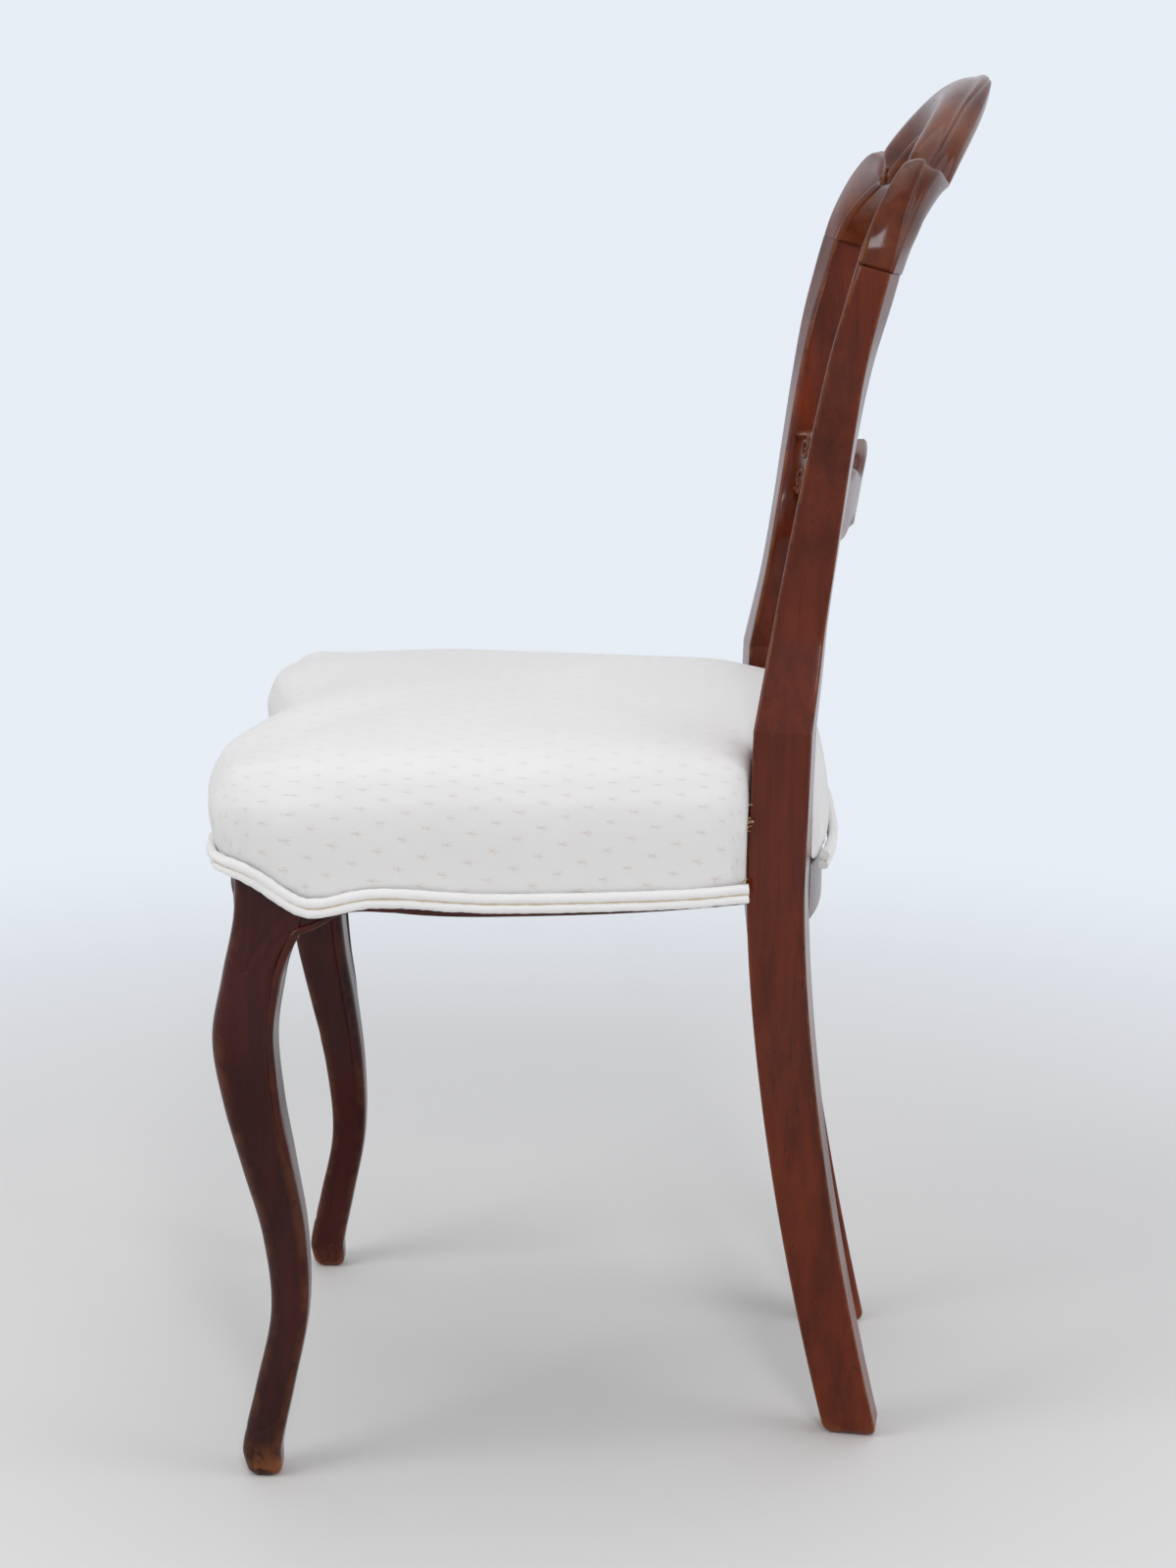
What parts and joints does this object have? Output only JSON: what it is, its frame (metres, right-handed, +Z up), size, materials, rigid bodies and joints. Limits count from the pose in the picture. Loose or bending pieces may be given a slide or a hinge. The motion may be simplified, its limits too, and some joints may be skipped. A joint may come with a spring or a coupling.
{
  "type": "balloon back dining chair",
  "caption": "Wooden dining chair with an open balloon-shaped back, curved front legs and a stuffed-over fabric seat.",
  "frame": {"origin": "on the floor, under the middle of the chair's overall width and depth", "axes": "+Z up, the sitter faces -Y, +X to the sitter's left"},
  "size_m": [0.4468, 0.4976, 0.902],
  "materials": {
    "mahogany": "polished mahogany, semi-gloss",
    "rail_wood": "plain unpolished beech",
    "dowel_wood": "plain beech",
    "screw_steel": "dull steel",
    "webbing": "woven jute",
    "hessian": "coarse jute cloth",
    "stuffing": "stitched fibre stuffing under wadding",
    "seat_fabric": "ivory satin weave, small scattered motif",
    "welt_cord": "double cord covered in plain ivory cloth"
  },
  "bodies": {
    "root": {"back_stile_left": "mahogany", "back_stile_right": "mahogany", "crest_rail": "mahogany", "mid_rail": "mahogany", "front_leg_left": "mahogany", "front_leg_right": "mahogany", "front_seat_rail": "mahogany", "side_seat_rail_left": "mahogany", "side_seat_rail_right": "mahogany", "rear_seat_rail": "mahogany", "corner_block_front_left": "rail_wood", "corner_block_front_right": "rail_wood", "corner_block_rear_left": "rail_wood", "corner_block_rear_right": "rail_wood", "corner_block_screws": "screw_steel", "rail_dowels": "dowel_wood", "mid_rail_dowels": "dowel_wood", "crest_dowels": "dowel_wood", "webbing_lengthwise": "webbing", "webbing_crosswise": "webbing", "hessian": "hessian", "seat_stuffing": "stuffing", "seat_cover": "seat_fabric", "double_welt": "welt_cord", "double_welt_rear": "welt_cord"}
  },
  "joints": []
}
